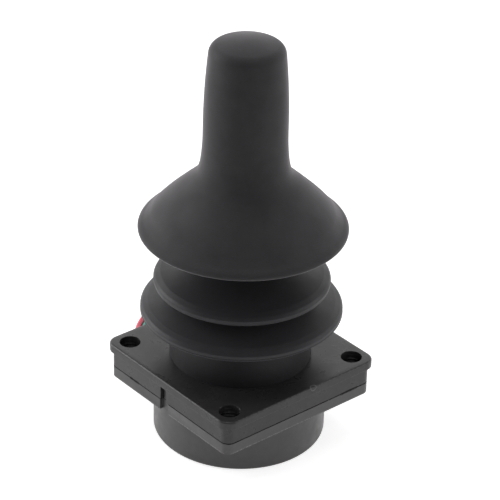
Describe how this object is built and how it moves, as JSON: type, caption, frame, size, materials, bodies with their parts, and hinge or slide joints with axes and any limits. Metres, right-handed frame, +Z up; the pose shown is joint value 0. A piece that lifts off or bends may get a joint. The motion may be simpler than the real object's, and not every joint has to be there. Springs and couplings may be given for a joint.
{
  "type": "wheelchair joystick controller",
  "caption": "Two-axis joystick with a mushroom grip knob, a bellows boot, a square panel flange over a round sensor can, and a short wire harness.",
  "frame": {"origin": "middle of the round can's bottom face", "axes": "+Z up along the lever at rest, X and Y square to the flange's sides, the harness leaves towards -X"},
  "size_m": [0.0762, 0.0726, 0.0974],
  "materials": {
    "knob_rubber": "soft matte moulded rubber",
    "boot_rubber": "matte moulded rubber",
    "housing_plastic": "satin moulded, faintly mottled",
    "mechanism_plastic": "glass-filled nylon",
    "bearing_plastic": "natural acetal",
    "steel": "turned and ground",
    "spring_steel": "drawn spring wire",
    "screw_steel": "zinc plated",
    "magnet_plating": "nickel plated",
    "insert_brass": "turned",
    "board": "solder mask",
    "chip_plastic": "moulded epoxy",
    "connector_plastic": "natural nylon",
    "contact_metal": "tin plated",
    "wire_red": "wire insulation",
    "wire_green": "wire insulation",
    "wire_white": "wire insulation",
    "wire_black": "wire insulation",
    "grommet_rubber": "matte rubber",
    "tie_nylon": "moulded nylon"
  },
  "bodies": {
    "housing": {"top_housing": "housing_plastic", "lower_housing": "housing_plastic", "housing_screws": "screw_steel", "gate_plate": "bearing_plastic", "gimbal_carrier": "mechanism_plastic", "carrier_screws": "screw_steel", "centring_spring": "spring_steel", "boot": "boot_rubber", "sensor_board": "board", "hall_sensors": "chip_plastic", "board_chips": "chip_plastic", "board_screws": "screw_steel", "board_header": "connector_plastic", "board_plug": "connector_plastic", "inner_leads": "wire_black", "cable_grommet": "grommet_rubber", "wire_red": "wire_red", "wire_green": "wire_green", "wire_white": "wire_white", "wire_black": "wire_black", "harness_coil": "wire_black", "cable_tie": "tie_nylon", "plug_housing": "connector_plastic", "plug_contacts": "contact_metal"},
    "gimbal": {"gimbal_ring": "bearing_plastic", "ring_pins": "steel"},
    "stick": {"knob": "knob_rubber", "knob_core": "mechanism_plastic", "knob_insert": "insert_brass", "lever_shaft": "steel", "retaining_ring": "spring_steel", "spring_cup": "mechanism_plastic", "pivot_block": "steel", "roll_pin": "spring_steel", "block_pins": "steel", "magnet_holder": "mechanism_plastic", "magnet": "magnet_plating"}
  },
  "joints": [
    {"name": "tilt_x", "type": "hinge", "parent": "housing", "child": "gimbal", "pos_m": [0, 0, 0.013], "axis": [1, 0, 0], "range_deg": [-18, 18], "stiffness_Nm_per_rad": 0.45, "deforming": ["boot", "centring_spring"]},
    {"name": "tilt_y", "type": "hinge", "parent": "gimbal", "child": "stick", "pos_m": [0, 0, 0.013], "axis": [0, 1, 0], "range_deg": [-18, 18], "stiffness_Nm_per_rad": 0.45, "deforming": ["boot", "centring_spring"]}
  ]
}
